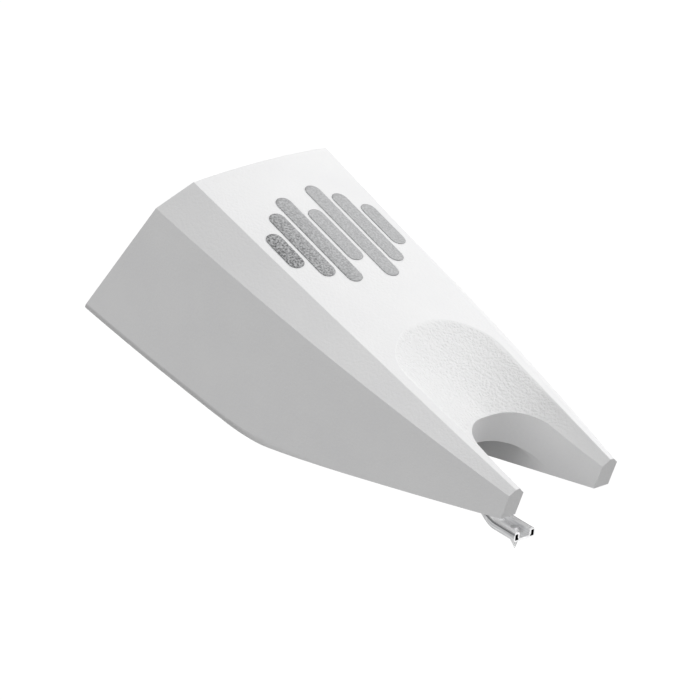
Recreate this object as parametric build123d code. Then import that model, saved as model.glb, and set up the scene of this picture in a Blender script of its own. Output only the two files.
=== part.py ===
"""Detachable stylus unit of a turntable cartridge.

A white moulded housing carries a metal plug tube. In the tube's front cup a rubber damper holds the
aluminium cantilever, which swings with its magnet behind and its diamond tip in front.

The pieces are drawn square to the housing's back: X across, P forward along the back from its rear edge,
Q up from it, so a point (X, P, Q) is drawn at (X, -P, Q). At the end everything is tipped nose down to the
angle it has over a record, with the origin on the plug tube's axis, at the shoulder the plug starts from.
"""

import os
from math import cos, radians, sin, sqrt, tan

from build123d import *

# Housing, mm and degrees
TILT = 25.0  # nose-down angle of the back over a record
BACK_LENGTH = 24.4
REAR_WIDTH = 11.52
TIP_WIDTH = 7.0  # across both prongs at their ends
BACK_REAR_WIDTH = 8.56  # flat of the back, between its chamfers
BACK_TIP_WIDTH = 6.34
BACK_BOW = 0.1  # how far its edges stand out from straight, halfway
CHAMFER_REAR_DEPTH = 1.65
CHAMFER_TIP_DEPTH = 0.3
CROWN_RADIUS = 28.0  # of the back, across
REAR_HEIGHT = 10.45
REAR_LEAN = 16.9  # of the joint face, its lower edge further back
PRONG_HEIGHT = 1.73
UNDERSIDE_REAR_SLOPE = 6.8
UNDERSIDE_MIDDLE_SLOPE = 21.0
UNDERSIDE_FRONT_SLOPE = 25.5
UNDERSIDE_BEND = 9.4  # P where the rear and middle slopes would meet
UNDERSIDE_BEND_RADIUS = 12.0
LOWER_EDGE_RADIUS = 0.64
WALL = 1.0
SOCKET_DEPTH = 10.5  # P of the socket's end, the bulkhead's rear face
BULKHEAD = 2.5

# Thumb scoop, and the slot that makes the notch and the channel under it
SCOOP_SETBACK = 11.4  # of its rear end, behind the prong ends
SCOOP_DEPTH = 1.5  # at the prong ends, below the top of the crown
SCOOP_FALL = 2.6  # power of the curve by which its floor comes down
SCOOP_REAR_WIDTH = 6.4
SCOOP_TIP_WIDTH = 5.86
SCOOP_END = 2.8  # length of its rounded rear end
VALLEY_REAR = 2.0  # power of the rise across it: 1 would be a sharp valley, 2 is a parabola
VALLEY_NOTCH = 1.5  # at the rear of the notch
VALLEY_TIP = 2.55
VALLEY_CHANGE = 1.5  # length, from the notch on, over which it becomes the power at the tips
SLOT_TIP_WIDTH = 5.12
SLOT_TAPER = 4.7  # of each wall, wider to the front
NOTCH_LENGTH = 5.6
CHANNEL_DEPTH = 2.7  # of its roof, below the back
CHANNEL_CORNER = 0.4

# Plug tube, on the axis that the cantilever also leaves on
AXIS_DEPTH = 5.15  # below the back
PLUG_RADIUS = 1.3
PLUG_WALL = 0.25
PLUG_LENGTH = 7.0
PLUG_CHAMFER = 0.1
SHOULDER_STAND = 0.3  # of the shoulder, behind the bulkhead
CUP_RADIUS = 1.6
CUP_WALL = 0.3
CUP_FLOOR_STAND = 0.4  # of the cup's floor, in front of the bulkhead
CUP_DEPTH = 1.9
BOND_GAP = 0.02  # adhesive in fixed round fits
SOFT_GAP = 0.02  # round the rubber

# Damper, wire and magnet
DAMPER_LENGTH = 1.4
DAMPER_CHAMFER = 0.25
WIRE_RADIUS = 0.06
ANCHOR_LENGTH = 1.5
MAGNET_RADIUS = 0.6
MAGNET_LENGTH = 2.0
MAGNET_STAND = 0.3  # from the cup's floor back to the magnet
MAGNET_SEAT = 0.9  # how far the cantilever goes into it

# Cantilever: a round tube, then a bent end pressed to a low web between two open lobes
TUBE_RADIUS = 0.4
TUBE_WALL = 0.12
CRIMP_LENGTH = 0.4
BEND_SETBACK = 2.5  # behind the prong ends
END_BEND = 16.0  # of the pressed end, upwards
END_LENGTH = 1.63
FLARE_LENGTH = 1.7  # from round to pressed, up to the bend
END_WIDTH = 1.36
LOBE_HEIGHT = 0.48
LOBE_WIDTH = 0.34
LOBE_CORNER = 0.15
LOBE_WALL = 0.08
LOBE_DEPTH = 1.1  # how far the lobes are open
WEB_THICKNESS = 0.11  # at the foot of the lobes

# Tip
SHANK_RADIUS = 0.2
SHANK_SETBACK = 0.69  # behind the pressed end's front edge
SHANK_ABOVE = 0.31  # over the web's middle
SHANK_BELOW = 0.35
TIP_LENGTH = 0.46
TIP_RADIUS = 0.02

MARGIN = 1.0  # how far cuts and lofts run past the piece

rear_foot = -REAR_HEIGHT * tan(radians(REAR_LEAN))
scoop_start = BACK_LENGTH - SCOOP_SETBACK
notch_rear = BACK_LENGTH - NOTCH_LENGTH
bulkhead_front = SOCKET_DEPTH + BULKHEAD
plug_shoulder = SOCKET_DEPTH - SHOULDER_STAND
plug_rear = plug_shoulder - PLUG_LENGTH
plug_bore = PLUG_RADIUS - PLUG_WALL
cup_bore = CUP_RADIUS - CUP_WALL
cup_floor = bulkhead_front + CUP_FLOOR_STAND
pivot = cup_floor + SOFT_GAP + DAMPER_LENGTH / 2
magnet_front = cup_floor - MAGNET_STAND
bend = BACK_LENGTH - BEND_SETBACK
end_forward = cos(radians(END_BEND))
end_rise = sin(radians(END_BEND))
flare_start = bend - FLARE_LENGTH
web_middle = (WEB_THICKNESS - LOBE_HEIGHT) / 2  # over the lobes' middle


def at(p, q):
    """A point of the middle plane, as the side sketches take it."""
    return (-p, q)


def side_half(p):
    """Half width of the side walls: a parabola that leaves the rear parallel to the axis."""
    share = (p - rear_foot) / (BACK_LENGTH - rear_foot)
    return REAR_WIDTH / 2 - (REAR_WIDTH - TIP_WIDTH) / 2 * share**2


def back_half(p):
    """Half width of the back between its chamfers, slightly bowed."""
    share = p / BACK_LENGTH
    straight = (BACK_REAR_WIDTH + (BACK_TIP_WIDTH - BACK_REAR_WIDTH) * share) / 2
    return straight + 4 * BACK_BOW * share * (1 - share)


def chamfer_depth(p):
    """Depth of the chamfer's lower edge, straight from rear to tip."""
    return CHAMFER_REAR_DEPTH + (CHAMFER_TIP_DEPTH - CHAMFER_REAR_DEPTH) * p / BACK_LENGTH


def crown_height(p):
    """Rise of the crowned back over its edges."""
    return CROWN_RADIUS - sqrt(CROWN_RADIUS**2 - back_half(p) ** 2)


def slot_half(p):
    """Half width between the slot's two walls."""
    return SLOT_TIP_WIDTH / 2 - tan(radians(SLOT_TAPER)) * (BACK_LENGTH - p)


def cross_section(p, inset):
    """The housing across, open-ended below, moved in by a wall thickness."""
    corner = inset * tan(radians(22.5))
    side = side_half(p) - inset
    back = back_half(p) - corner
    low = -2 * REAR_HEIGHT
    edge = -chamfer_depth(p) - corner
    with BuildSketch(Plane.XZ.offset(p)) as section:
        with BuildLine():
            Polyline((-back, -inset), (-side, edge), (-side, low), (side, low), (side, edge), (back, -inset))
            ThreePointArc((back, -inset), (0, crown_height(p) - inset), (-back, -inset))
        make_face()
    return section.sketch


def lofted_form(first, last, inset):
    """The housing's back, chamfers and sides between two stations, as one smooth loft."""
    stations = 6
    step = (last - first) / (stations - 1)
    return loft([cross_section(first + step * n, inset) for n in range(stations)])


def side_profile(inset, behind):
    """The housing from the side, before its front slope is cut: leaning rear face and rounded belly.

    The whole outline moves in by a wall thickness, and the rear face first moves back by a distance.
    """
    lean = tan(radians(REAR_LEAN))
    rear_slope = tan(radians(UNDERSIDE_REAR_SLOPE))
    middle_slope = tan(radians(UNDERSIDE_MIDDLE_SLOPE))
    head_room = REAR_HEIGHT
    foot_p = rear_foot - behind / (1 - lean * rear_slope)
    foot_q = -REAR_HEIGHT + rear_slope * (foot_p - rear_foot)
    belly_q = -REAR_HEIGHT + rear_slope * (UNDERSIDE_BEND - rear_foot)
    front_q = belly_q + middle_slope * (BACK_LENGTH - UNDERSIDE_BEND)
    belly = at(UNDERSIDE_BEND, belly_q)
    outline = [at(head_room * lean - behind, head_room), at(foot_p, foot_q), belly]
    outline += [at(BACK_LENGTH, front_q), at(BACK_LENGTH, head_room)]
    with BuildSketch(Plane.YZ) as profile:
        with BuildLine():
            Polyline(*outline, close=True)
        make_face()
        fillet(profile.vertices().sort_by_distance(belly)[0], UNDERSIDE_BEND_RADIUS)
        if inset:
            offset(amount=-inset)
    return profile.sketch


def front_slope():
    """Cut for the flat front of the underside, from the belly to the prong ends."""
    rise = tan(radians(UNDERSIDE_FRONT_SLOPE))
    low = -3 * REAR_HEIGHT
    last = BACK_LENGTH + MARGIN
    outline = [at(last, -PRONG_HEIGHT + rise * MARGIN), at(0, -PRONG_HEIGHT - rise * BACK_LENGTH), at(0, low)]
    outline += [at(last, low)]
    return extrude(Plane.YZ * make_face(Polyline(*outline, close=True)), REAR_WIDTH, both=True)


def socket():
    """Cut for the cartridge's nose: the outer form moved in by the wall, open at the joint face."""
    side = extrude(side_profile(WALL, 3 * WALL), REAR_WIDTH, both=True)
    return lofted_form(rear_foot - MARGIN, SOCKET_DEPTH, WALL) & side


def scoop_section(p):
    """Across the scoop: a soft valley that meets the crowned back at the scoop's rim."""
    ahead = min((p - scoop_start) / SCOOP_SETBACK, 1)
    floor = crown_height(scoop_start) - SCOOP_DEPTH * (1 - (1 - ahead) ** SCOOP_FALL)
    half = (SCOOP_REAR_WIDTH + (SCOOP_TIP_WIDTH - SCOOP_REAR_WIDTH) * ahead) / 2
    rounded = min(max((p - scoop_start) / SCOOP_END, 0.15), 1)
    rim = half * sqrt(1 - (1 - rounded) ** 2)
    rim_height = crown_height(p) - CROWN_RADIUS + sqrt(CROWN_RADIUS**2 - rim**2)
    rise = max(rim_height - floor, 0.02)
    narrowing = min(max((notch_rear - p) / (notch_rear - scoop_start - SCOOP_END), 0), 1)
    widening = min(max((p - notch_rear) / VALLEY_CHANGE, 0), 1)
    power = VALLEY_NOTCH + (VALLEY_REAR - VALLEY_NOTCH) * narrowing + (VALLEY_TIP - VALLEY_NOTCH) * widening
    reach = 1.25 * SCOOP_REAR_WIDTH / 2
    across = [reach * n / 6 for n in range(-6, 7)]
    valley = [(x, floor + rise * (abs(x) / rim) ** power) for x in across]
    top = REAR_HEIGHT / 2
    with BuildSketch(Plane.XZ.offset(p)) as section:
        with BuildLine():
            Spline(*valley)
            Polyline(valley[-1], (reach, top), (-reach, top), valley[0])
        make_face()
    return section.sketch


def scoop():
    """Cut for the thumb scoop, which falls to the front and runs out between the prong ends."""
    stations = 13
    first = scoop_start - SCOOP_END / 5
    step = (BACK_LENGTH + MARGIN - first) / (stations - 1)
    return loft([scoop_section(first + step * n) for n in range(stations)])


def notch():
    """Cut between the prongs: the slot's walls, closed at the rear by an arc tangent to both."""
    taper = radians(SLOT_TAPER)
    radius = slot_half(notch_rear) * cos(taper) / (1 - sin(taper))
    centre = notch_rear + radius
    touch = (radius * cos(taper), -centre + radius * sin(taper))
    last = BACK_LENGTH + MARGIN
    tip = (slot_half(last), -last)
    with BuildSketch(Plane.XY) as plan:
        with BuildLine():
            Polyline(touch, tip, (-tip[0], tip[1]), (-touch[0], touch[1]))
            ThreePointArc((-touch[0], touch[1]), (0, -notch_rear), touch)
        make_face()
    return extrude(plan.sketch, REAR_HEIGHT, both=True)


def channel():
    """Cut under the notch and on to the bulkhead, between the same walls, with rounded roof corners."""
    last = BACK_LENGTH + MARGIN
    rear_half = slot_half(bulkhead_front)
    tip_half = slot_half(last)
    plan = [(-rear_half, -bulkhead_front), (-tip_half, -last)]
    plan += [(tip_half, -last), (rear_half, -bulkhead_front)]
    cut = Pos(0, 0, -CHANNEL_DEPTH) * extrude(make_face(Polyline(*plan, close=True)), -2 * REAR_HEIGHT)
    roof = cut.faces().sort_by(Axis.Z)[-1]
    return fillet([edge for edge in roof.edges() if abs(edge.tangent_at(0.5).X) < 0.5], CHANNEL_CORNER)


def round_bar(radius, first, last):
    """A round bar on the plug's axis."""
    return Plane.XZ.offset(first) * Pos(0, -AXIS_DEPTH) * extrude(Circle(radius), last - first)


def turned(*outline):
    """A piece turned about the plug's axis, from its half outline of (P, radius) points."""
    points = [at(p, radius - AXIS_DEPTH) for p, radius in outline]
    return revolve(Plane.YZ * make_face(Polyline(*points, close=True)), Axis((0, 0, -AXIS_DEPTH), (0, 1, 0)))


def ring(outer, inner, first, last):
    """A plain sleeve on the plug's axis."""
    return turned((first, inner), (first, outer), (last, outer), (last, inner))


def housing():
    """The moulding: lofted form in its side profile, then socket, bulkhead bore, slot and scoop."""
    form = lofted_form(rear_foot - MARGIN, BACK_LENGTH + MARGIN, 0)
    form &= extrude(side_profile(0, 0), REAR_WIDTH, both=True)
    belly = [face for face in form.faces() if face.normal_at().Z < -0.5]
    lower_edges = [edge for face in belly for edge in face.edges() if abs(edge.tangent_at(0.5).X) < 0.5]
    form = fillet(lower_edges, LOWER_EDGE_RADIUS)
    form -= front_slope()
    form -= socket()
    form -= round_bar(CUP_RADIUS + BOND_GAP, SOCKET_DEPTH - MARGIN, bulkhead_front + MARGIN)
    form -= channel()
    form -= scoop()
    form -= notch()
    return form


def plug_tube():
    """Turned carrier tube: the plug behind, the cup for the damper in front."""
    mouth = cup_floor + CUP_DEPTH
    return turned(
        (plug_rear, plug_bore),
        (plug_rear, PLUG_RADIUS - PLUG_CHAMFER),
        (plug_rear + PLUG_CHAMFER, PLUG_RADIUS),
        (plug_shoulder, PLUG_RADIUS),
        (plug_shoulder, CUP_RADIUS),
        (mouth, CUP_RADIUS),
        (mouth, cup_bore),
        (cup_floor, cup_bore),
        (cup_floor, plug_bore),
    )


def damper():
    """Rubber ring on the cup's floor, round the cantilever."""
    first = cup_floor + SOFT_GAP
    last = first + DAMPER_LENGTH
    outer = cup_bore - SOFT_GAP
    inner = TUBE_RADIUS + SOFT_GAP
    face = outer - DAMPER_CHAMFER
    return turned((first, inner), (first, outer), (last - DAMPER_CHAMFER, outer), (last, face), (last, inner))


def pressed_section(along):
    """Plane across the pressed end, a distance along it from the bend."""
    p = bend + along * end_forward
    q = -AXIS_DEPTH + along * end_rise
    return Plane(origin=(0, -p, q), x_dir=(1, 0, 0), z_dir=(0, -end_forward, end_rise))


def tube_section(p):
    """Plane across the straight tube."""
    return Plane.XZ.offset(p) * Pos(0, -AXIS_DEPTH)


def groove():
    """Cut along the top of the pressed end, down to the web between its lobes, running out on the flare."""
    height = 2 * TUBE_RADIUS
    tool = Rectangle(END_WIDTH - 2 * LOBE_WIDTH, height)
    shallow = tube_section(flare_start) * Pos(0, TUBE_RADIUS + height / 2) * tool
    deep = pressed_section(0) * Pos(0, web_middle + (WEB_THICKNESS + height) / 2) * tool
    return loft([shallow, deep], ruled=True) + extrude(deep, END_LENGTH + MARGIN)


def cantilever():
    """Aluminium tube, crimped on the wire at its pivot, its end pressed to a web between two open lobes."""
    rear = magnet_front - MAGNET_SEAT
    bore = TUBE_RADIUS - TUBE_WALL
    almost_round = RectangleRounded(2 * TUBE_RADIUS, 2 * TUBE_RADIUS, 0.99 * TUBE_RADIUS)
    flat = pressed_section(0) * RectangleRounded(END_WIDTH, LOBE_HEIGHT, LOBE_CORNER)
    tube = round_bar(TUBE_RADIUS, rear, flare_start)
    tube += loft([tube_section(flare_start) * almost_round, flat])
    tube += extrude(flat, END_LENGTH)
    tube -= groove()
    opening = RectangleRounded(LOBE_WIDTH - 2 * LOBE_WALL, LOBE_HEIGHT - 2 * LOBE_WALL, LOBE_WALL / 2)
    for side in (-1, 1):
        lobe = pressed_section(END_LENGTH) * Pos(side * (END_WIDTH - LOBE_WIDTH) / 2, 0) * opening
        tube -= extrude(lobe, -LOBE_DEPTH)
    tube -= round_bar(bore, rear, pivot - CRIMP_LENGTH / 2)
    tube -= round_bar(WIRE_RADIUS + BOND_GAP, rear, flare_start)
    tube -= round_bar(bore, pivot + CRIMP_LENGTH / 2, flare_start)
    tube -= upright(SHANK_RADIUS + BOND_GAP, -MARGIN, MARGIN)
    return tube


def tip_plane(height):
    """Plane square to the record, on the tip's axis, at a height over the web's middle."""
    web = (pressed_section(END_LENGTH - SHANK_SETBACK) * Pos(0, web_middle)).position
    up = Vector(0, sin(radians(TILT)), cos(radians(TILT)))
    return Plane(origin=web + up * height, x_dir=(1, 0, 0), z_dir=up)


def upright(radius, low, high):
    """A round bar on the tip's axis."""
    return extrude(tip_plane(low) * Circle(radius), high - low)


def diamond_tip():
    """Ground cone under the shank, with a ball point."""
    height = TIP_LENGTH - TIP_RADIUS
    cone = Cone(TIP_RADIUS, SHANK_RADIUS, height, align=(Align.CENTER, Align.CENTER, Align.MAX))
    return tip_plane(-SHANK_BELOW) * (cone + Pos(0, 0, -height) * Sphere(TIP_RADIUS))


pieces = {
    "housing": housing(),
    "plug_tube": plug_tube(),
    "damper": damper(),
    "wire_anchor": ring(plug_bore - BOND_GAP, WIRE_RADIUS + BOND_GAP, plug_rear, plug_rear + ANCHOR_LENGTH),
    "tie_wire": round_bar(WIRE_RADIUS, plug_rear, pivot + CRIMP_LENGTH / 2),
    "magnet": ring(MAGNET_RADIUS, TUBE_RADIUS + BOND_GAP, magnet_front - MAGNET_LENGTH, magnet_front),
    "cantilever": cantilever(),
    "tip_shank": upright(SHANK_RADIUS, -SHANK_BELOW, SHANK_ABOVE),
    "diamond_tip": diamond_tip(),
}

os.makedirs("parts", exist_ok=True)
for name, shape in pieces.items():
    placed = Rot(TILT, 0, 0) * Pos(0, plug_shoulder, AXIS_DEPTH) * shape
    export_step(placed, f"parts/{name}.step")
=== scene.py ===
"""Looks of the stylus unit: white moulded housing, printed back, metal plug tube, rubber damper, aluminium
cantilever with its tip, over a plain pale floor.

Sizes are in millimetres and become metres through MM. P runs forward along the back from its rear edge, Q up
from it and X across.
"""

import bpy
import numpy as np
from mathutils import Matrix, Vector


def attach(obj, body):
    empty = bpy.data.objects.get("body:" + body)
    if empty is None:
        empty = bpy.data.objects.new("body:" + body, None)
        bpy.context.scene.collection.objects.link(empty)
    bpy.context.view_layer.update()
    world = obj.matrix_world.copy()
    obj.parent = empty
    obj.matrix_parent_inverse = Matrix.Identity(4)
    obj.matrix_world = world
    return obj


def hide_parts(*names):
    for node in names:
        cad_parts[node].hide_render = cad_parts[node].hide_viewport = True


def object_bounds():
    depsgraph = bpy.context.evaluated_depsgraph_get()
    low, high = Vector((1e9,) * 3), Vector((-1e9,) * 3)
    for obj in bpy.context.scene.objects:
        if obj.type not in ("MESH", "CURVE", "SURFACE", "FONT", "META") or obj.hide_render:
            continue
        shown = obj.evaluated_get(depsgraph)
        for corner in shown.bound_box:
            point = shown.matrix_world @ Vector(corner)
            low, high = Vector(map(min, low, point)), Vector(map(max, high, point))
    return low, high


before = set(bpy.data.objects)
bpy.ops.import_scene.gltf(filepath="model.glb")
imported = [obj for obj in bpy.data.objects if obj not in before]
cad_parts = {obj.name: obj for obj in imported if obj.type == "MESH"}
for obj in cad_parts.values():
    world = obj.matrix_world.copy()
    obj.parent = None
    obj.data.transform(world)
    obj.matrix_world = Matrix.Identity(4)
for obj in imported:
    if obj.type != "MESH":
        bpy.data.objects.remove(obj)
cad_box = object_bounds()

# Housing
# One injection moulding in white ABS with a fine spark-eroded grain. The cartridge's nose goes into its open
# rear, and the fork in front leaves the tip in sight.

MM = 0.001
TILT = np.radians(25.0)
SHOULDER = 10.2
AXIS_DEPTH = 5.15
BACK_LENGTH = 24.4
CHANNEL_DEPTH = 2.7
CHANNEL_REAR = 13.0
SLOT_HALF = 2.56
SLOT_TAPER = np.tan(np.radians(4.7))
# Painted shade in the channel under the notch: where it is full, where it ends, and its soft edges.
CHANNEL_SHADE_FULL = 19.5
CHANNEL_SHADE_END = 21.5
CHANNEL_SHADE_REAR_EDGE = 0.1
CHANNEL_SHADE_ROOF_EDGE = 0.05
CHANNEL_SHADE_WALL_EDGE = (0.06, 0.03)
# Painted shade on the rounded lower edge behind the belly, on what faces down towards the floor.
BELLY_SHADE_FULL = 8.4
BELLY_SHADE_NONE = 10.8
TURNED_DOWN = (-0.04, -0.2)
UNDER_AXIS = 0.5
SCOOP_REAR = 12.9
SCOOP_REAR_EDGE = 0.4
SCOOP_HALF = 3.05
SCOOP_SIDE_EDGE = 0.1
SCOOP_RIM = (0.004, 0.04)
TURNED_UP = (0.1, 0.3)
# Painted shade in the thumb scoop: part strength at its rear, growing to full towards the notch.
SCOOP_SHADE_REAR = 14.0
SCOOP_SHADE_FULL = 18.5
SCOOP_SHADE_START = 0.4
GRAIN_FULL = 19.5
GRAIN_END = 22.0
SCOOP_GRAIN = 4.5
CROWN_RADIUS = 28.0
CROWN_TOP = 0.3464
CROWN_FALL = 0.0068
NOISE_RANGE = (0.3, 0.7)
PITS_DETAIL = 2.0
MOTTLING_DETAIL = 3.0
PLASTIC_PITS = 7.0
PLASTIC_MOTTLING = 0.35
PLASTIC_ROUGH = (0.5, 0.64)
PLASTIC_RELIEF = 0.006
PLASTIC_WHITE = (0.86, 0.86, 0.862, 1.0)
PLASTIC_SHADE = (0.835, 0.835, 0.84, 1.0)
# This tone and the next two are painted shade: in the channel, under the belly and in the scoop.
PLASTIC_CHANNEL_SHADE = (0.63, 0.63, 0.632, 1.0)
PLASTIC_UNDER_SHADE = (0.615, 0.615, 0.617, 1.0)
PLASTIC_SCOOP_SHADE = (0.785, 0.785, 0.787, 1.0)


def node_group(name, vectors, values, outputs):
    """An empty shader node group with vector and value inputs and value outputs; gives its tree, input node
    and output node."""
    tree = bpy.data.node_groups.new(name, "ShaderNodeTree")
    for socket in vectors:
        tree.interface.new_socket(socket, in_out="INPUT", socket_type="NodeSocketVector")
    for socket in values:
        tree.interface.new_socket(socket, in_out="INPUT", socket_type="NodeSocketFloat")
    for socket in outputs:
        tree.interface.new_socket(socket, in_out="OUTPUT", socket_type="NodeSocketFloat")
    return tree, tree.nodes.new("NodeGroupInput"), tree.nodes.new("NodeGroupOutput")


def fed(tree, socket, value):
    """Links a socket to the given output, or sets it to the given number or colour."""
    if isinstance(value, bpy.types.NodeSocket):
        tree.links.new(value, socket)
    else:
        socket.default_value = value


def ranged(tree, value, low, high, start=0.0, end=1.0):
    """The value mapped from low..high to start..end; gives the output socket."""
    mapped = tree.nodes.new("ShaderNodeMapRange")
    tree.links.new(value, mapped.inputs["Value"])
    for socket, number in (("From Min", low), ("From Max", high), ("To Min", start), ("To Max", end)):
        mapped.inputs[socket].default_value = number
    return mapped.outputs["Result"]


def noise(tree, vector, scale, detail):
    """Noise on the given coordinates, with its middle range stretched to 0..1; gives the output socket."""
    texture = tree.nodes.new("ShaderNodeTexNoise")
    for socket, value in (("Vector", vector), ("Scale", scale), ("Detail", detail)):
        fed(tree, texture.inputs[socket], value)
    return ranged(tree, texture.outputs["Fac"], *NOISE_RANGE)


def mixed(tree, factor, first, second):
    """Two colours mixed by a factor; gives the output socket."""
    mix = tree.nodes.new("ShaderNodeMix")
    mix.data_type = "RGBA"
    tree.links.new(factor, mix.inputs["Factor"])
    fed(tree, mix.inputs[6], first)
    fed(tree, mix.inputs[7], second)
    return mix.outputs[2]


def calculated(tree, operation, first, second=0.0):
    """One step of arithmetic; gives the output socket."""
    step = tree.nodes.new("ShaderNodeMath")
    step.operation = operation
    for socket, value in zip(step.inputs, (first, second)):
        fed(tree, socket, value)
    return step.outputs["Value"]


def product(tree, first, *others):
    """Values multiplied one after the other; gives the output socket."""
    for other in others:
        first = calculated(tree, "MULTIPLY", first, other)
    return first


def fine_grain_group():
    """Grain of a moulded or blasted surface: a fine noise for its pits and a coarse one for its mottling."""
    kinds = ["Pits", "Mottling"]
    tree, given, put_out = node_group("fine_grain", ["Vector"], kinds, kinds)
    for kind, detail in zip(kinds, (PITS_DETAIL, MOTTLING_DETAIL)):
        speckle = noise(tree, given.outputs["Vector"], given.outputs[kind], detail)
        tree.links.new(speckle, put_out.inputs[kind])
    return tree


fine_grain = fine_grain_group()


def on_piece(tree, group, **scales):
    """A node group on the piece's own coordinates, with scales in features per millimetre; gives the node."""
    place = tree.nodes.new("ShaderNodeTexCoord")
    node = tree.nodes.new("ShaderNodeGroup")
    node.node_tree = group
    for socket, source in (("Vector", "Object"), ("Facing", "Normal")):
        if socket in node.inputs:
            tree.links.new(place.outputs[source], node.inputs[socket])
    for socket, scale in scales.items():
        node.inputs[socket].default_value = scale / MM
    return node


def new_material(name, **constants):
    """A Principled material with constants set on its sockets; gives the material, its tree and shader."""
    material = bpy.data.materials.new(name)
    material.use_nodes = True
    shader = material.node_tree.nodes["Principled BSDF"]
    for socket, value in constants.items():
        shader.inputs[socket.replace("_", " ")].default_value = value
    return material, material.node_tree, shader


def surfaced(tree, shader, tone, relief, rough):
    """Gives the shader its tone, and a roughness that follows the relief from rough's first to its second."""
    tree.links.new(tone, shader.inputs["Base Color"])
    tree.links.new(ranged(tree, relief, 0.0, 1.0, *rough), shader.inputs["Roughness"])


def bumped(tree, shader, height, depth):
    """The height as bumps of a depth in mm, on the shader's normal."""
    bump = tree.nodes.new("ShaderNodeBump")
    bump.inputs["Strength"].default_value = 1.0
    bump.inputs["Distance"].default_value = depth * MM
    tree.links.new(height, bump.inputs["Height"])
    tree.links.new(bump.outputs["Normal"], shader.inputs["Normal"])


def dress(node, material):
    """Gives a CAD node its material."""
    for slot in bpy.data.objects[node].material_slots:
        slot.material = material


def levelled(tree, vector):
    """Coordinates turned back by the nose-down tilt; gives X across, Y behind the plug's shoulder and Z above
    its axis."""
    level = tree.nodes.new("ShaderNodeMapping")
    level.vector_type = "TEXTURE"
    level.inputs["Rotation"].default_value = (TILT, 0.0, 0.0)
    tree.links.new(vector, level.inputs["Vector"])
    parts = tree.nodes.new("ShaderNodeSeparateXYZ")
    tree.links.new(level.outputs["Vector"], parts.inputs["Vector"])
    return parts.outputs


def along_back(tree, place, first, last, start=0.0, end=1.0):
    """A value that goes from start to end between two places P along the back; gives the output socket."""
    return ranged(tree, place["Y"], (SHOULDER - first) * MM, (SHOULDER - last) * MM, start, end)


def channel_shade_group():
    """Painted shade in the channel under the notch, where its roof shades it: 1 between its walls and under
    its roof, 0 in the open.
    The walls stand where the distance from the middle and the taper along them add up to the slot's half
    width."""
    tree, given, put_out = node_group("channel_painted_shade", ["Vector"], [], ["Dust"])
    place = levelled(tree, given.outputs["Vector"])
    roof = AXIS_DEPTH - CHANNEL_DEPTH
    under = ranged(tree, place["Z"], roof * MM, (roof - CHANNEL_SHADE_ROOF_EDGE) * MM)
    behind = along_back(tree, place, CHANNEL_SHADE_END, CHANNEL_SHADE_FULL)
    before = along_back(tree, place, CHANNEL_REAR, CHANNEL_REAR + CHANNEL_SHADE_REAR_EDGE)
    half = calculated(tree, "ABSOLUTE", place["X"])
    across = calculated(tree, "ADD", half, product(tree, place["Y"], SLOT_TAPER))
    wall = SLOT_HALF - SLOT_TAPER * (BACK_LENGTH - SHOULDER)
    between = ranged(tree, across, *((wall + edge) * MM for edge in CHANNEL_SHADE_WALL_EDGE))
    tree.links.new(product(tree, under, behind, before, between), put_out.inputs["Dust"])
    return tree


def shade_and_grain_group():
    """Painted shade and the scoop's grain. The under-shade output is 1 where the rounded lower edge behind
    the belly turns down, painted shade on what faces the floor. The scoop-shade output is painted shade in
    the thumb scoop, darker towards the notch where the scoop deepens: what faces up and lies under the crown,
    a height that falls with the square of the distance from the middle and evenly along the back. Coarser is
    how much deeper the scoop's grain is, back to plain before the prong ends."""
    tree, given, put_out = node_group(
        "shade_and_grain", ["Vector", "Facing"], [], ["Greyed", "ScoopShade", "Coarser"]
    )
    place = levelled(tree, given.outputs["Vector"])
    facing = levelled(tree, given.outputs["Facing"])
    downward = ranged(tree, facing["Z"], *TURNED_DOWN)
    behind = along_back(tree, place, BELLY_SHADE_NONE, BELLY_SHADE_FULL)
    beneath = ranged(tree, place["Z"], 0.0, -UNDER_AXIS * MM)
    tree.links.new(product(tree, downward, behind, beneath), put_out.inputs["Greyed"])

    half = calculated(tree, "ABSOLUTE", place["X"])
    sagged = product(tree, calculated(tree, "POWER", half, 2.0), 0.5 / (CROWN_RADIUS * MM))
    fallen = product(tree, place["Y"], -CROWN_FALL)
    height = calculated(tree, "ADD", calculated(tree, "ADD", place["Z"], sagged), fallen)
    crown = AXIS_DEPTH + CROWN_TOP - CROWN_FALL * SHOULDER
    sunk = ranged(tree, height, *((crown - depth) * MM for depth in SCOOP_RIM))
    within = ranged(tree, half, SCOOP_HALF * MM, (SCOOP_HALF - SCOOP_SIDE_EDGE) * MM)
    front = along_back(tree, place, SCOOP_REAR, SCOOP_REAR + SCOOP_REAR_EDGE)
    upward = ranged(tree, facing["Z"], *TURNED_UP)
    scoop = product(tree, sunk, within, front, upward)
    # Painted shade in the scoop, stronger towards the notch.
    shade_growth = along_back(tree, place, SCOOP_SHADE_REAR, SCOOP_SHADE_FULL, SCOOP_SHADE_START, 1.0)
    tree.links.new(product(tree, scoop, shade_growth), put_out.inputs["ScoopShade"])
    coarse = product(tree, scoop, along_back(tree, place, GRAIN_END, GRAIN_FULL))
    tree.links.new(ranged(tree, coarse, 0.0, 1.0, 1.0, SCOOP_GRAIN), put_out.inputs["Coarser"])
    return tree


plastic, tree, shader = new_material("white_plastic", IOR=1.5)
pores = on_piece(tree, fine_grain, Pits=PLASTIC_PITS, Mottling=PLASTIC_MOTTLING).outputs
channel_shade = on_piece(tree, channel_shade_group()).outputs
shade_and_grain = on_piece(tree, shade_and_grain_group()).outputs
tone = mixed(tree, pores["Mottling"], PLASTIC_SHADE, PLASTIC_WHITE)
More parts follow.
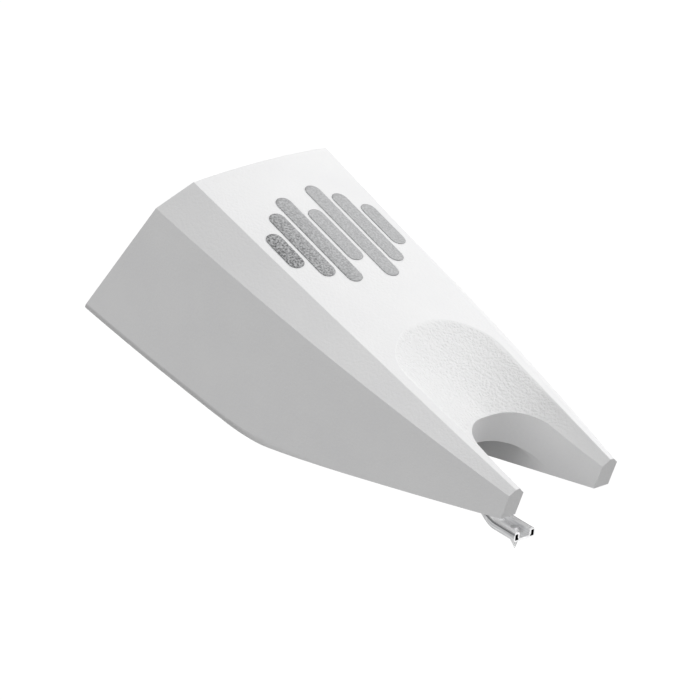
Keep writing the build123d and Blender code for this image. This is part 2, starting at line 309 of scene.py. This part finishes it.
# The scoop, under-belly and channel tones mixed in here are painted shade.
for mask, colour in (
    (shade_and_grain["ScoopShade"], PLASTIC_SCOOP_SHADE),
    (shade_and_grain["Greyed"], PLASTIC_UNDER_SHADE),
    (channel_shade["Dust"], PLASTIC_CHANNEL_SHADE),
):
    tone = mixed(tree, mask, tone, colour)
surfaced(tree, shader, tone, pores["Pits"], PLASTIC_ROUGH)
bumped(tree, shader, product(tree, pores["Pits"], shade_and_grain["Coarser"]), PLASTIC_RELIEF)
dress("housing", plastic)

# Print on the back
# A film of silver ink, pad printed over the grain of the back, painted darker towards one side as a painted
# reflection across the crowned back. It is a plain row of level bars with round ends.

BACK_HALF_REAR = 4.28
BACK_HALF_FALL = 1.11
BACK_BOW = 0.4
BAR_WIDTH = 0.86
BAR_PITCH = 1.06
BAR_LENGTHS = (2.6, 4.9, 6.6, 4.0, 7.2, 5.4, 3.2)
BAR_ROWS = 41
BAR_COLUMNS = 17
PRINT_MIDDLE = 6.1
INK_LIFT = 0.012
INK_FILM = 0.01
# Painted reflection: the print is darkest at the first X and lightest at the second.
INK_DARKEST_X = -3.7
INK_LIGHTEST_X = -0.4
INK_PITS = 9.5
INK_MOTTLING = 0.3
INK_SPECKS = (0.12, 0.88)
INK_ROUGH = (0.35, 0.6)
INK_RELIEF = 0.01
INK_DARK = (0.018, 0.018, 0.02, 1.0)
INK_LIGHT = (0.47, 0.474, 0.482, 1.0)
# The print's lighter side, a painted reflection.
INK_LIT_SIDE_DARK = (0.37, 0.372, 0.378, 1.0)
INK_LIT_SIDE_LIGHT = (0.5, 0.504, 0.51, 1.0)


def placed(x, p, q):
    """Points X across, P forward along the back and Q above it, tipped nose down into the part's frame."""
    x, p, q = np.broadcast_arrays(x, p, q)
    behind = SHOULDER - p
    above = q + AXIS_DEPTH
    y = np.cos(TILT) * behind - np.sin(TILT) * above
    z = np.sin(TILT) * behind + np.cos(TILT) * above
    return np.stack([x, y, z], axis=-1) * MM


def back_height(x, p):
    """The crowned back across: the arc through its edges, whose half width falls evenly and is slightly
    bowed."""
    share = p / BACK_LENGTH
    half = BACK_HALF_REAR - BACK_HALF_FALL * share + BACK_BOW * share * (1 - share)
    return np.sqrt(CROWN_RADIUS**2 - x**2) - np.sqrt(CROWN_RADIUS**2 - half**2)


def bar_points(middle, length):
    """A bar with half-round ends on the back: the way across runs -1 to 1, and the way along reaches further
    towards the middle by the half circle's height, so that the rows of the grid end on the round."""
    across, along = np.meshgrid(np.linspace(-1, 1, BAR_COLUMNS), np.linspace(-1, 1, BAR_ROWS))
    half = BAR_WIDTH / 2
    reach = length / 2 - half + half * np.sqrt(np.clip(1 - across**2, 0, 1))
    x = middle + half * across
    p = PRINT_MIDDLE + reach * along
    return placed(x, p, back_height(x, p) + INK_LIFT)


def grid_faces(rows, columns, around=False):
    """Quads of a grid of points in row order; around joins the last column to the first."""
    row = np.arange(rows - 1)[:, None]
    column = np.arange(columns if around else columns - 1)[None, :]
    following = (column + 1) % columns
    corners = [row * columns + column, row * columns + following]
    corners += [(row + 1) * columns + following, (row + 1) * columns + column]
    return np.stack(corners, axis=-1).reshape(-1, 4)


def new_piece(name, points, faces, material):
    """A smooth object at the origin from points in metres and a list of faces."""
    mesh = bpy.data.meshes.new(name)
    mesh.from_pydata(points.reshape(-1, 3).tolist(), [], [list(face) for face in faces])
    mesh.materials.append(material)
    mesh.polygons.foreach_set("use_smooth", np.full(len(mesh.polygons), True))
    mesh.update()
    piece = bpy.data.objects.new(name, mesh)
    bpy.context.scene.collection.objects.link(piece)
    return piece


def marked(piece, name, values, kind="FLOAT", field="value"):
    """Keeps a value for each point of a piece, for its material to read."""
    attribute = piece.data.attributes.new(name, kind, "POINT")
    attribute.data.foreach_set(field, np.asarray(values, np.float32).ravel())


def mark(tree, name, output="Fac"):
    """A value kept on the piece's points; gives the output socket."""
    node = tree.nodes.new("ShaderNodeAttribute")
    node.attribute_name = name
    return node.outputs[output]


ink, tree, shader = new_material("silver_ink", IOR=1.45)
pores = on_piece(tree, fine_grain, Pits=INK_PITS, Mottling=INK_MOTTLING).outputs
speck = ranged(tree, pores["Pits"], *INK_SPECKS)
# Tones of the darker and the lighter side of the print: a painted reflection across the crowned back.
dark_side_tone = mixed(tree, speck, INK_DARK, INK_LIGHT)
lit_side_tone = mixed(tree, speck, INK_LIT_SIDE_DARK, INK_LIT_SIDE_LIGHT)
tone = mixed(tree, mark(tree, "reflection_share"), dark_side_tone, lit_side_tone)
surfaced(tree, shader, tone, pores["Pits"], INK_ROUGH)
bumped(tree, shader, pores["Pits"], INK_RELIEF)

middles = (np.arange(len(BAR_LENGTHS)) - (len(BAR_LENGTHS) - 1) / 2) * BAR_PITCH
bars = np.stack([bar_points(middle, length) for middle, length in zip(middles, BAR_LENGTHS)])
first_points = np.arange(len(BAR_LENGTHS))[:, None, None] * BAR_ROWS * BAR_COLUMNS
bar_faces = (grid_faces(BAR_ROWS, BAR_COLUMNS) + first_points).reshape(-1, 4)
level_print = new_piece("level_print", bars, bar_faces, ink)
# Share from the darker side to the lighter side, for the painted reflection.
reflection_share = (bars[..., 0] / MM - INK_DARKEST_X) / (INK_LIGHTEST_X - INK_DARKEST_X)
marked(level_print, "reflection_share", np.clip(reflection_share, 0, 1))
film = level_print.modifiers.new("film", "SOLIDIFY")
film.thickness = INK_FILM * MM
film.offset = -1.0
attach(level_print, "housing_assembly")

# Plug tube
# Turned nickel-plated brass. Its rear plugs into the cartridge and its front cup holds the damper. It is
# glued into the housing's bulkhead.

RINGS_DETAIL = 2.0
RINGS_ROUGH_SPREAD = 0.08
RINGS_RELIEF = 0.002
NICKEL_RINGS = 9.0
NICKEL_ROUGH = 0.26
NICKEL_DARK = (0.42, 0.415, 0.405, 1.0)
NICKEL_LIGHT = (0.56, 0.553, 0.54, 1.0)


def turning_marks_group():
    """Rings left by a turning tool: noise on the length along the plug's axis and the distance from it."""
    tree, given, put_out = node_group("turning_marks", ["Vector"], ["Rings"], ["Rings"])
    place = levelled(tree, given.outputs["Vector"])
    squares = [calculated(tree, "POWER", place[axis], 2.0) for axis in ("X", "Z")]
    turned = tree.nodes.new("ShaderNodeCombineXYZ")
    tree.links.new(place["Y"], turned.inputs["X"])
    tree.links.new(calculated(tree, "SQRT", calculated(tree, "ADD", *squares)), turned.inputs["Y"])
    rings = noise(tree, turned.outputs["Vector"], given.outputs["Rings"], RINGS_DETAIL)
    tree.links.new(rings, put_out.inputs["Rings"])
    return tree


turning_marks = turning_marks_group()


def turned_metal(name, dark, light, rings_per_mm, rough):
    """Turned metal: tone, roughness and fine bumps follow the tool's rings."""
    material, tree, shader = new_material(name, Metallic=1.0)
    rings = on_piece(tree, turning_marks, Rings=rings_per_mm).outputs["Rings"]
    spread = (rough - RINGS_ROUGH_SPREAD, rough + RINGS_ROUGH_SPREAD)
    surfaced(tree, shader, mixed(tree, rings, dark, light), rings, spread)
    bumped(tree, shader, rings, RINGS_RELIEF)
    return material


dress("plug_tube", turned_metal("nickel_plate", NICKEL_DARK, NICKEL_LIGHT, NICKEL_RINGS, NICKEL_ROUGH))

# Damper
# Moulded doughnut of black butyl rubber, slightly dusty, pressed into the cup round the cantilever. Its full
# round leaves the cantilever room to swing.

DAMPER_REAR = 13.46
DAMPER_FRONT = 14.82
DAMPER_OUTER = 1.28
DAMPER_INNER = 0.42
DAMPER_POWER = 3
DAMPER_STATIONS = 144
DAMPER_ROUND = 96
RUBBER_PITS = 9.0
RUBBER_MOTTLING = 1.2
RUBBER_ROUGH = (0.55, 0.75)
RUBBER_RELIEF = 0.008
RUBBER_BLACK = (0.012, 0.012, 0.013, 1.0)
RUBBER_DUSTY = (0.035, 0.034, 0.034, 1.0)


def mottled(name, dark, light, pits, mottling, rough, depth, **constants):
    """A plain finish: its tone follows the mottling, and its roughness and bumps, if any, follow the pits."""
    material, tree, shader = new_material(name, **constants)
    pores = on_piece(tree, fine_grain, Pits=pits, Mottling=mottling).outputs
    surfaced(tree, shader, mixed(tree, pores["Mottling"], dark, light), pores["Pits"], rough)
    if depth:
        bumped(tree, shader, pores["Pits"], depth)
    return material


def doughnut(name, material):
    """A ring about the plug's axis: across it, cube of the way along plus cube of the way out make one."""
    turn = np.linspace(0, 2 * np.pi, DAMPER_ROUND, endpoint=False)
    along = np.sign(np.cos(turn)) * np.abs(np.cos(turn)) ** (2 / DAMPER_POWER)
    out = np.sign(np.sin(turn)) * np.abs(np.sin(turn)) ** (2 / DAMPER_POWER)
    p = (DAMPER_REAR + DAMPER_FRONT) / 2 + (DAMPER_FRONT - DAMPER_REAR) / 2 * along
    radius = (DAMPER_INNER + DAMPER_OUTER) / 2 + (DAMPER_OUTER - DAMPER_INNER) / 2 * out
    swing = np.linspace(0, 2 * np.pi, DAMPER_STATIONS, endpoint=False)[:, None]
    points = placed(radius * np.cos(swing), p, radius * np.sin(swing) - AXIS_DEPTH)
    faces = grid_faces(DAMPER_STATIONS + 1, DAMPER_ROUND, around=True) % (DAMPER_STATIONS * DAMPER_ROUND)
    return new_piece(name, points, faces, material)


rubber = mottled(
    "black_rubber", RUBBER_BLACK, RUBBER_DUSTY, RUBBER_PITS, RUBBER_MOTTLING, RUBBER_ROUGH, RUBBER_RELIEF,
    IOR=1.5,
)
damper = doughnut("rubber_doughnut", rubber)
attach(damper, "damper_ring")
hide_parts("damper")

# Wire anchor
# A turned brass plug, crimped into the rear of the plug tube. The tie wire ends in it.

BRASS_RINGS = 12.0
BRASS_ROUGH = 0.3
BRASS_DARK = (0.42, 0.29, 0.12, 1.0)
BRASS_LIGHT = (0.58, 0.42, 0.2, 1.0)

dress("wire_anchor", turned_metal("anchor_brass", BRASS_DARK, BRASS_LIGHT, BRASS_RINGS, BRASS_ROUGH))

# Tie wire
# Fine drawn steel wire from the cantilever's crimp to the anchor. It holds the cantilever against the damper.

STEEL_RINGS = 20.0
STEEL_ROUGH = 0.3
STEEL_DARK = (0.42, 0.42, 0.43, 1.0)
STEEL_LIGHT = (0.62, 0.62, 0.63, 1.0)

dress("tie_wire", turned_metal("drawn_steel", STEEL_DARK, STEEL_LIGHT, STEEL_RINGS, STEEL_ROUGH))

# Magnet
# A small dark ring of sintered magnet, bonded on the cantilever's rear end, where it moves between the
# cartridge's poles.

MAGNET_RINGS = 25.0
MAGNET_ROUGH = 0.45
MAGNET_DARK = (0.16, 0.16, 0.165, 1.0)
MAGNET_LIGHT = (0.3, 0.3, 0.31, 1.0)

dress("magnet", turned_metal("sintered_magnet", MAGNET_DARK, MAGNET_LIGHT, MAGNET_RINGS, MAGNET_ROUGH))

# Cantilever
# Thin aluminium tube, drawn, its front end bent up and pressed to a low web between two hollow lobes, which
# keep a fold line along their outer shoulders; the fold line is painted dark, painted shade. The upper side
# is painted lighter, painted light, with painted highlight lines along the lobes. The end is cut off bright,
# and the hollows behind it are painted near black, painted shade.

TUBE_REAR = 12.2
TUBE_RADIUS = 0.4
FLARE_START = 20.2
BEND_P = 21.9
BEND_ANGLE = np.radians(16.0)
BEND_SPREAD = 0.5
END_LENGTH = 1.63
END_HALF = 0.68
LOBE_HALF = 0.24
LOBE_INNER = 0.34
LOBE_CORNER = 0.15
LOBE_INNER_CORNER = 0.07
WEB_TOP = -0.13
WEB_CORNER = 0.06
CORNER_STEPS = 24
ROUND_STEPS = 360
TUBE_STATIONS = 10
FLARE_STATIONS = 31
END_STATIONS = 28
PATH_STEPS = 3000
PATH_SPARE = 1.0
FOLD_DEPTH = 0.03
FOLD_WIDTH = 0.027
FOLDS = ((-1, np.radians(24.0)), (1, np.radians(72.0)))
# Painted light: the upper side of the pressed end is painted lighter.
LIT_TOP_HALF = 0.62
LIT_TOP_LOWEST = -0.15
# Painted highlights: bright lines along the lobes' tops, where the metal is also made less metallic.
HIGHLIGHT_LINES_X = (-0.48, 0.44)
HIGHLIGHT_LINE_WIDTH = 0.06
DRAWING_LINES = 9.0
DRAWING_DETAIL = 2.0
LINE_STRETCH = 0.06
SLOT_DEPTH = 1.1
SLOT_PAST = 0.3
SLOT_CORNERS = (
    (0.605, -0.165), (0.605, 0.16), (0.425, 0.16), (0.42, -0.06), (0.37, -0.11), (0.385, -0.165)
)
SLOT_RADII = (0.05, 0.05, 0.03, 0.03, 0.02, 0.02)
SLOT_CORNER_STEPS = 7
SLOT_STATIONS = 12
ALUMINIUM_PITS = 14.0
ALUMINIUM_MOTTLING = 2.5
ALUMINIUM_ROUGH = (0.3, 0.45)
ALUMINIUM_RELIEF = 0.001
ALUMINIUM_METALLIC = (0.65, 0.1)
ALUMINIUM_DARK = (0.4, 0.402, 0.408, 1.0)
ALUMINIUM_LIGHT = (0.8, 0.805, 0.815, 1.0)
# Painted light: the tones of the pressed end's upper side.
LIT_TOP_DARK = (0.82, 0.822, 0.828, 1.0)
LIT_TOP_LIGHT = (0.99, 0.992, 0.995, 1.0)
# Painted shade along the fold lines.
FOLD_PAINTED_SHADE = (0.19, 0.19, 0.195, 1.0)
CUT_PITS = 20.0
CUT_MOTTLING = CUT_PITS / 6
CUT_ROUGH = (0.25, 0.4)
CUT_RELIEF = 0.001
CUT_DARK = (0.82, 0.82, 0.83, 1.0)
CUT_LIGHT = (0.95, 0.95, 0.955, 1.0)
HOLLOW_ROUGH = (0.7, 0.9)
HOLLOW_RELIEF = 0.002
# Painted shade: the inside of the lobes' hollows is near black.
HOLLOW_SHADE_DARK = (0.004, 0.004, 0.004, 1.0)
HOLLOW_SHADE_LIGHT = (0.012, 0.012, 0.012, 1.0)


def rounded_ring(corners, radii, steps):
    """A closed outline whose corners become arcs of their radii, each tangent to both of its runs: the arc is
    swung from its first tangent point to its last about the point on the corner's bisector."""
    corners = np.asarray(corners, float)
    into = np.roll(corners, 1, axis=0) - corners
    out = np.roll(corners, -1, axis=0) - corners
    into /= np.linalg.norm(into, axis=1, keepdims=True)
    out /= np.linalg.norm(out, axis=1, keepdims=True)
    half = np.arccos(np.clip((into * out).sum(axis=1), -1, 1))[:, None] / 2
    radii = np.asarray(radii, float)[:, None]
    bisector = (into + out) / np.linalg.norm(into + out, axis=1, keepdims=True)
    centre = corners + bisector * radii / np.sin(half)
    first = corners + into * radii / np.tan(half) - centre
    last = corners + out * radii / np.tan(half) - centre
    sweep = np.pi - 2 * half
    turn = np.linspace(0, 1, steps)[None, :]
    start_share = np.sin((1 - turn) * sweep) / np.sin(sweep)
    end_share = np.sin(turn * sweep) / np.sin(sweep)
    arcs = centre[:, None] + start_share[..., None] * first[:, None] + end_share[..., None] * last[:, None]
    return arcs.reshape(-1, 2)


def evenly_round(ring, count):
    """A closed outline's points respaced at equal lengths; gives the points, their places round as shares of
    the whole length, and that length."""
    closed = np.concatenate([ring, ring[:1]])
    run = np.concatenate([[0], np.cumsum(np.linalg.norm(np.diff(closed, axis=0), axis=1))])
    at = np.linspace(0, run[-1], count, endpoint=False)
    points = np.stack([np.interp(at, run, closed[:, 0]), np.interp(at, run, closed[:, 1])], axis=-1)
    return points, at / run[-1], run[-1]


def eased(share):
    """0 to 1 with level ends, three squares less two cubes."""
    share = np.clip(share, 0, 1)
    return share * share * (3 - 2 * share)


def carried(outlines, along):
    """Outlines (X, height) carried along the cantilever's path, one a station: the path is straight, then its
    slope eases from level to the end's angle over a short spread, and each outline stands square to it."""
    fine = np.linspace(TUBE_REAR, BEND_P + END_LENGTH + PATH_SPARE, PATH_STEPS)
    angle = BEND_ANGLE * eased((fine - BEND_P) / BEND_SPREAD + 0.5)
    step = fine[1] - fine[0]
    middle = (angle[1:] + angle[:-1]) / 2
    forward = TUBE_REAR + np.concatenate([[0], np.cumsum(np.cos(middle) * step)])
    rise = np.concatenate([[0], np.cumsum(np.sin(middle) * step)])
    p, q, turn = (np.interp(along, fine, values)[:, None] for values in (forward, rise, angle))
    x, height = outlines[..., 0], outlines[..., 1]
    return placed(x, p - np.sin(turn) * height, q - AXIS_DEPTH + np.cos(turn) * height)


def closed_sweep(name, outlines, along, material):
    """A solid from outlines carried along the path, each end closed by one face."""
    points = carried(outlines, along)
    rows, columns = points.shape[:2]
    faces = grid_faces(rows, columns, around=True).tolist()
    faces.append(list(range(columns))[::-1])
    faces.append([(rows - 1) * columns + n for n in range(columns)])
    return new_piece(name, points, faces, material)


def near(points, spot, width):
    """A soft spot on an outline: 1 at the spot, falling as a bell curve of the width."""
    return np.exp(-((np.linalg.norm(points - spot, axis=1) / width) ** 2))


aluminium, tree, shader = new_material("drawn_aluminium")
pores = on_piece(tree, fine_grain, Pits=ALUMINIUM_PITS, Mottling=ALUMINIUM_MOTTLING).outputs
lines = noise(tree, mark(tree, "drawn", "Vector"), DRAWING_LINES, DRAWING_DETAIL)
painted_highlight = mark(tree, "painted_highlight")
tone = mixed(tree, lines, ALUMINIUM_DARK, ALUMINIUM_LIGHT)
# The upper side's tone is painted light, the highlight lines painted highlights, the fold line painted shade.
for mask, colour in (
    (mark(tree, "painted_lit_top"), mixed(tree, lines, LIT_TOP_DARK, LIT_TOP_LIGHT)),
    (painted_highlight, CUT_LIGHT),
    (mark(tree, "fold"), FOLD_PAINTED_SHADE),
):
    tone = mixed(tree, mask, tone, colour)
surfaced(tree, shader, tone, pores["Pits"], ALUMINIUM_ROUGH)
tree.links.new(ranged(tree, painted_highlight, 0.0, 1.0, *ALUMINIUM_METALLIC), shader.inputs["Metallic"])
bumped(tree, shader, pores["Pits"], ALUMINIUM_RELIEF)
cut_end = mottled(
    "cut_aluminium", CUT_DARK, CUT_LIGHT, CUT_PITS, CUT_MOTTLING, CUT_ROUGH, CUT_RELIEF, Metallic=1.0
)
# Painted shade for the inside of the lobes' hollows.
hollow = mottled(
    "hollow_painted_shade", HOLLOW_SHADE_DARK, HOLLOW_SHADE_LIGHT, CUT_PITS, CUT_MOTTLING, HOLLOW_ROUGH, HOLLOW_RELIEF, IOR=1.2
)

# The pressed outline is a low U, drawn for one side and mirrored, with a fold pushed in at each shoulder.
u_corners = [(END_HALF, -LOBE_HALF), (END_HALF, LOBE_HALF), (LOBE_INNER, LOBE_HALF), (LOBE_INNER, WEB_TOP)]
u_corners += [(-x, height) for x, height in u_corners[::-1]]
u_radii = [LOBE_CORNER, LOBE_CORNER, LOBE_INNER_CORNER, WEB_CORNER]
u_ring = rounded_ring(u_corners, u_radii + u_radii[::-1], CORNER_STEPS)
pressed, share_round, girth = evenly_round(u_ring, ROUND_STEPS)
fold = np.zeros(len(pressed))
for side, angle in FOLDS:
    middle = np.array([END_HALF - LOBE_CORNER, LOBE_HALF - LOBE_CORNER])
    outward = np.array([np.cos(angle), np.sin(angle)])
    line = near(pressed, (middle + LOBE_CORNER * outward) * [side, 1], FOLD_WIDTH)
    pressed = pressed - line[:, None] * FOLD_DEPTH * outward * [side, 1]
    fold += line

# The round outline starts at the same place under the tube, and the flare eases from it to the pressed one.
turn = 2 * np.pi * (share_round + (END_HALF - LOBE_CORNER) / girth) - np.pi / 2
round_tube = TUBE_RADIUS * np.stack([np.cos(turn), np.sin(turn)], axis=-1)
along = np.concatenate([
    np.linspace(TUBE_REAR, FLARE_START, TUBE_STATIONS)[:-1],
    np.linspace(FLARE_START, BEND_P, FLARE_STATIONS)[:-1],
    np.linspace(BEND_P, BEND_P + END_LENGTH, END_STATIONS),
])
share = eased((along - FLARE_START) / (BEND_P - FLARE_START))
outlines = round_tube * (1 - share[:, None, None]) + pressed * share[:, None, None]
cantilever = closed_sweep("pressed_cantilever", outlines, along, aluminium)

# What the material reads: the folds for their painted shade, the upper side for its painted light, the
# painted highlight lines on the lobes, and the coordinates that the drawing lines are stretched along.
painted_lit_top = (np.abs(pressed[:, 0]) < LIT_TOP_HALF) & (pressed[:, 1] > LIT_TOP_LOWEST)
# Painted highlight lines along the lobes.
bright = sum(near(pressed, np.array([x, LOBE_HALF]), HIGHLIGHT_LINE_WIDTH) for x in HIGHLIGHT_LINES_X)
stretched = np.broadcast_to(along[:, None, None] * LINE_STRETCH, outlines.shape[:2] + (1,))
# The fold line's darker tone is painted shade.
marked(cantilever, "fold", eased(2 * share)[:, None] * fold)
marked(cantilever, "painted_lit_top", share[:, None] * painted_lit_top)
marked(cantilever, "painted_highlight", share[:, None] * bright)
marked(cantilever, "drawn", np.concatenate([outlines, stretched], axis=-1), "FLOAT_VECTOR", "vector")
for material in (cut_end, hollow):
    cantilever.data.materials.append(material)
for cap, finish in zip(cantilever.data.polygons[-2:], (0, 1)):
    cap.material_index = finish
    cap.use_smooth = False

# Each lobe is cut hollow from its open end, and the cut takes the near-black painted shade.
slot_ring = rounded_ring(SLOT_CORNERS, SLOT_RADII, SLOT_CORNER_STEPS)
end = BEND_P + END_LENGTH
slot_along = np.linspace(end - SLOT_DEPTH, end + SLOT_PAST, SLOT_STATIONS)
for ring in (slot_ring, slot_ring[::-1] * [-1, 1]):
    outlines = np.broadcast_to(ring, (SLOT_STATIONS,) + ring.shape)
    cutter = closed_sweep("lobe_hollow_tool", outlines, slot_along, hollow)
    cut = cantilever.modifiers.new("lobe_hollow", "BOOLEAN")
    cut.object = cutter
    cut.operation = "DIFFERENCE"
    cut.solver = "EXACT"
    cut.material_mode = "TRANSFER"
    finished = cantilever.evaluated_get(bpy.context.evaluated_depsgraph_get())
    cut_mesh = bpy.data.meshes.new_from_object(finished)
    cantilever.modifiers.clear()
    cantilever.data = cut_mesh
    bpy.data.objects.remove(cutter)
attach(cantilever, "cantilever_assembly")
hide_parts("cantilever")

# Tip shank
# A short turned metal pin, set upright through the web of the cantilever's pressed end and bonded there.

SHANK_RINGS = 30.0
SHANK_ROUGH = 0.4
SHANK_DARK = (0.68, 0.68, 0.69, 1.0)
SHANK_LIGHT = (0.84, 0.84, 0.85, 1.0)

dress("tip_shank", turned_metal("shank_titanium", SHANK_DARK, SHANK_LIGHT, SHANK_RINGS, SHANK_ROUGH))

# Diamond tip
# A pale ground diamond, a cone with a small round end, bonded to the lower end of the shank. Its index is
# kept under a real diamond's, so that so small a tip doesn't turn dark.

DIAMOND_PITS = 40.0
DIAMOND_MOTTLING = 6.0
DIAMOND_ROUGH = (0.08, 0.2)
DIAMOND_GREY = (0.94, 0.945, 0.95, 1.0)
DIAMOND_CLEAR = (0.99, 0.992, 0.995, 1.0)

dress("diamond_tip", mottled(
    "ground_diamond", DIAMOND_GREY, DIAMOND_CLEAR, DIAMOND_PITS, DIAMOND_MOTTLING, DIAMOND_ROUGH, 0.0,
    IOR=1.45, Transmission_Weight=0.65,
))

# Floor, light and camera
# A plain pale floor well below the part, which hangs as its plug holds it. An even sky, one wide soft lamp
# from its right and a weaker one from its left light it.

FLOOR_DEPTH = 30.0
FLOOR_HALF = 1500.0
FLOOR_SEEN = (0.97, 0.97, 0.97, 1.0)
FLOOR_BOUNCE = (0.37, 0.37, 0.37, 1.0)
FLOOR_GLOW = (0.1, 0.1, 0.1, 1.0)
BLACK = (0.0, 0.0, 0.0, 1.0)
SKY_SEEN = (1.0, 1.0, 1.0, 1.0)
SKY_LIGHT = (0.485, 0.485, 0.485, 1.0)
LAMPS = (("key_lamp", 1.8, 337.0, 45.0), ("fill_lamp", 0.45, 180.0, 35.0))
LAMP_SPREAD = np.radians(50.0)
LAMP_HEIGHT = 0.3
CAMERA_AZIMUTH = np.radians(-41.002)
CAMERA_ELEVATION = np.radians(18.989)
CAMERA_ROLL = np.radians(-0.499)
CAMERA_DISTANCE = 274.92
FRAME_OFFSET = (2.540, 1.990)
AIM = np.array([0.0, -3.4906, 4.0547])
FOCAL_PIXELS = 5673.72
PICTURE_PIXELS = 700
SENSOR = 36.0


def seen_directly(tree):
    """1 where a camera, glossy or transmission ray looks, 0 for light that bounces."""
    path = tree.nodes.new("ShaderNodeLightPath")
    straight = calculated(tree, "MAXIMUM", path.outputs["Is Camera Ray"], path.outputs["Is Glossy Ray"])
    return calculated(tree, "MAXIMUM", straight, path.outputs["Is Transmission Ray"])


floor_paint, tree, shader = new_material("pale_floor", Roughness=0.9, IOR=1.1, Emission_Strength=1.0)
seen = seen_directly(tree)
tree.links.new(mixed(tree, seen, FLOOR_BOUNCE, FLOOR_SEEN), shader.inputs["Base Color"])
tree.links.new(mixed(tree, seen, BLACK, FLOOR_GLOW), shader.inputs["Emission Color"])
side_seen = tree.nodes.new("ShaderNodeNewGeometry")
tree.links.new(ranged(tree, side_seen.outputs["Backfacing"], 0.0, 1.0, 1.0, 0.0), shader.inputs["Alpha"])
floor_z = cad_box[0][2] - FLOOR_DEPTH * MM
corner = np.array([-FLOOR_HALF, FLOOR_HALF]) * MM
x, y = np.meshgrid(corner, corner)
floor_points = np.stack([x, y, np.full_like(x, floor_z)], axis=-1)
floor = new_piece("floor", floor_points, grid_faces(2, 2), floor_paint)

world = bpy.data.worlds.new("even_sky")
world.use_nodes = True
bpy.context.scene.world = world
tree = world.node_tree
sky = tree.nodes["Background"]
sky.inputs["Strength"].default_value = 1.0
tree.links.new(mixed(tree, seen_directly(tree), SKY_LIGHT, SKY_SEEN), sky.inputs["Color"])

for name, level, azimuth, elevation in LAMPS:
    lamp_data = bpy.data.lights.new(name, "SUN")
    lamp_data.energy = level
    lamp_data.angle = LAMP_SPREAD
    lamp = bpy.data.objects.new(name, lamp_data)
    lamp.location = (0.0, 0.0, LAMP_HEIGHT)
    lamp.rotation_euler = (0.0, np.radians(90.0 - elevation), np.radians(azimuth))
    bpy.context.scene.collection.objects.link(lamp)

# The camera stands off from its aim against the way it looks, and moves aside by the picture's offset.
back = np.array([
    np.sin(CAMERA_AZIMUTH) * np.cos(CAMERA_ELEVATION),
    -np.cos(CAMERA_AZIMUTH) * np.cos(CAMERA_ELEVATION),
    np.sin(CAMERA_ELEVATION),
])
level_right = np.array([np.cos(CAMERA_AZIMUTH), np.sin(CAMERA_AZIMUTH), 0.0])
level_up = np.cross(back, level_right)
right = np.cos(CAMERA_ROLL) * level_right + np.sin(CAMERA_ROLL) * level_up
up = np.cos(CAMERA_ROLL) * level_up - np.sin(CAMERA_ROLL) * level_right
stand = AIM + CAMERA_DISTANCE * back - FRAME_OFFSET[0] * right - FRAME_OFFSET[1] * up
pose = np.eye(4)
pose[:3, 0], pose[:3, 1], pose[:3, 2], pose[:3, 3] = right, up, back, stand * MM
camera_data = bpy.data.cameras.new("camera")
camera_data.lens = FOCAL_PIXELS / PICTURE_PIXELS * SENSOR
camera_data.sensor_width = SENSOR
camera_data.clip_start = 0.01
camera_data.clip_end = 10.0
camera = bpy.data.objects.new("camera", camera_data)
bpy.context.scene.collection.objects.link(camera)
camera.matrix_world = Matrix(pose.tolist())
bpy.context.scene.camera = camera
bpy.context.scene.view_settings.view_transform = "Standard"
